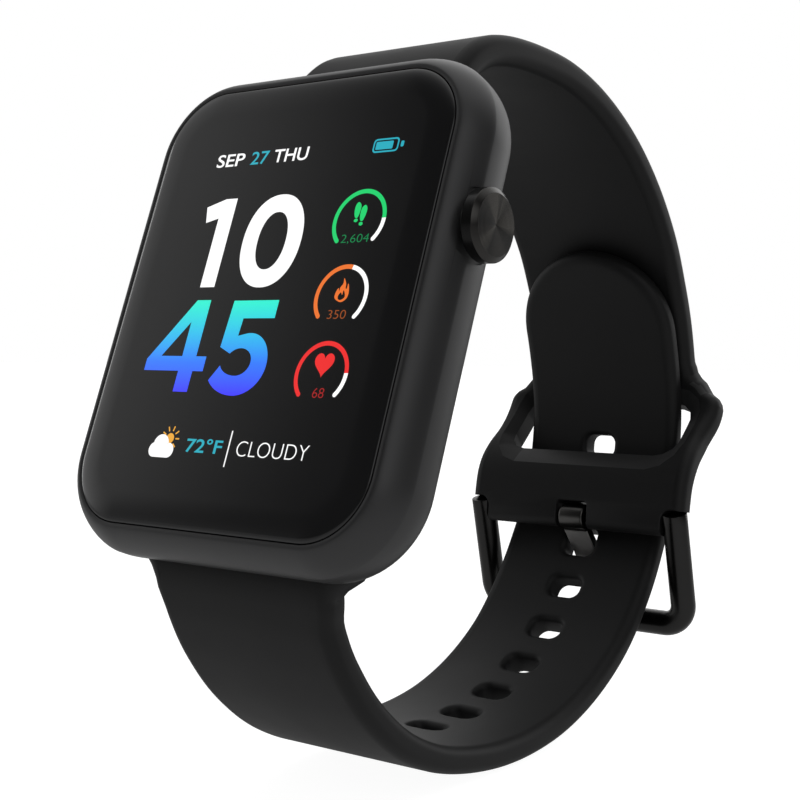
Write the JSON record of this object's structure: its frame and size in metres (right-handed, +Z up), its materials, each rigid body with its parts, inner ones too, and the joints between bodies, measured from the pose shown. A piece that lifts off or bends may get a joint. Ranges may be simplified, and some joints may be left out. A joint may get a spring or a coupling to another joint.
{
  "type": "smartwatch",
  "caption": "Rectangular smartwatch with a rounded metal case, curved dark touch screen, push-and-turn crown and a black silicone strap buckled into a wrist loop.",
  "frame": {"origin": "centre of the flat of the heart-rate sensor lens on the back of the watch, where it touches the wrist", "axes": "+X towards the crown side, +Z up as the watch is shown with its face leaning back 20 degrees, +Y from the case back towards the buckle at the back of the strap loop"},
  "size_m": [0.04, 0.0707, 0.0703],
  "materials": {
    "case_metal": "dark grey, satin anodised",
    "dark_glass": "black-backed, polished, rounded edge",
    "display": "dark panel",
    "silicone": "matte black silicone",
    "seal_rubber": "matte black",
    "black_steel": "glossy black coated steel",
    "crown_metal": "black anodised, turned face",
    "bright_steel": "fine satin",
    "board_green": "solder-masked board",
    "chip_black": "moulded black",
    "cell_silver": "silver pouch foil",
    "back_plastic": "polished black",
    "lens_dark": "dark clear lens",
    "contact_gold": "gold plated",
    "led_green": "green emitter",
    "sensor_red": "dark red filter"
  },
  "bodies": {
    "watch": {"case_body": "case_metal", "cover_glass": "dark_glass", "display_panel": "display", "buckle_strap": "silicone", "hole_strap": "silicone", "glass_gasket": "seal_rubber", "back_seal": "seal_rubber", "buckle_pin": "black_steel", "inner_frame": "bright_steel", "processor_can": "bright_steel", "motor_can": "bright_steel", "back_screw_1": "bright_steel", "back_screw_2": "bright_steel", "back_screw_3": "bright_steel", "back_screw_4": "bright_steel", "crown_bush": "bright_steel", "crown_spring": "bright_steel", "upper_bar_tube": "bright_steel", "upper_bar_end": "bright_steel", "upper_bar_spring": "bright_steel", "lower_bar_tube": "bright_steel", "lower_bar_end": "bright_steel", "lower_bar_spring": "bright_steel", "main_board": "board_green", "sensor_board": "board_green", "memory_chip": "chip_black", "radio_chip": "chip_black", "speaker_module": "chip_black", "crown_switch": "chip_black", "battery_cell": "cell_silver", "back_cover": "back_plastic", "sensor_lens": "lens_dark", "charge_contact_a": "contact_gold", "charge_contact_b": "contact_gold", "green_led_a": "led_green", "green_led_b": "led_green", "photodiode": "sensor_red"},
    "crown_carrier": {"crown_clip": "black_steel"},
    "crown": {"crown_cap": "crown_metal", "crown_stem": "bright_steel", "crown_o_ring": "seal_rubber"},
    "motor_rotor": {"motor_weight": "bright_steel"},
    "upper_release": {"upper_release_pin": "bright_steel"},
    "lower_release": {"lower_release_pin": "bright_steel"},
    "buckle_frame": {"buckle_frame": "black_steel"},
    "buckle_tang": {"buckle_tang": "black_steel"}
  },
  "joints": [
    {"name": "crown_press", "type": "slide", "parent": "watch", "child": "crown_carrier", "axis": [-1, 0, 0], "range_m": [0, 0.0006], "stiffness_N_per_m": 1500, "springref_m": -0.0003, "deforming": ["crown_spring"]},
    {"name": "crown_turn", "type": "hinge", "parent": "crown_carrier", "child": "crown", "pos_m": [0, -0.00405, 0.00935], "axis": [1, 0, 0], "continuous": true},
    {"name": "motor_spin", "type": "hinge", "parent": "watch", "child": "motor_rotor", "pos_m": [-0.0072, -0.00753, -0.00811], "axis": [0, -0.9397, 0.342], "continuous": true},
    {"name": "upper_release_slide", "type": "slide", "parent": "watch", "child": "upper_release", "axis": [-1, 0, 0], "range_m": [0, 0.0011], "stiffness_N_per_m": 400, "springref_m": -0.001, "deforming": ["upper_bar_spring"]},
    {"name": "lower_release_slide", "type": "slide", "parent": "watch", "child": "lower_release", "axis": [-1, 0, 0], "range_m": [0, 0.0011], "stiffness_N_per_m": 400, "springref_m": -0.001, "deforming": ["lower_bar_spring"]},
    {"name": "frame_swing", "type": "hinge", "parent": "watch", "child": "buckle_frame", "pos_m": [0, 0.04332, -0.01988], "axis": [1, 0, 0], "range_deg": [-12, 0]},
    {"name": "tang_swing", "type": "hinge", "parent": "watch", "child": "buckle_tang", "pos_m": [0, 0.04332, -0.01988], "axis": [1, 0, 0], "range_deg": [0, 12]}
  ]
}
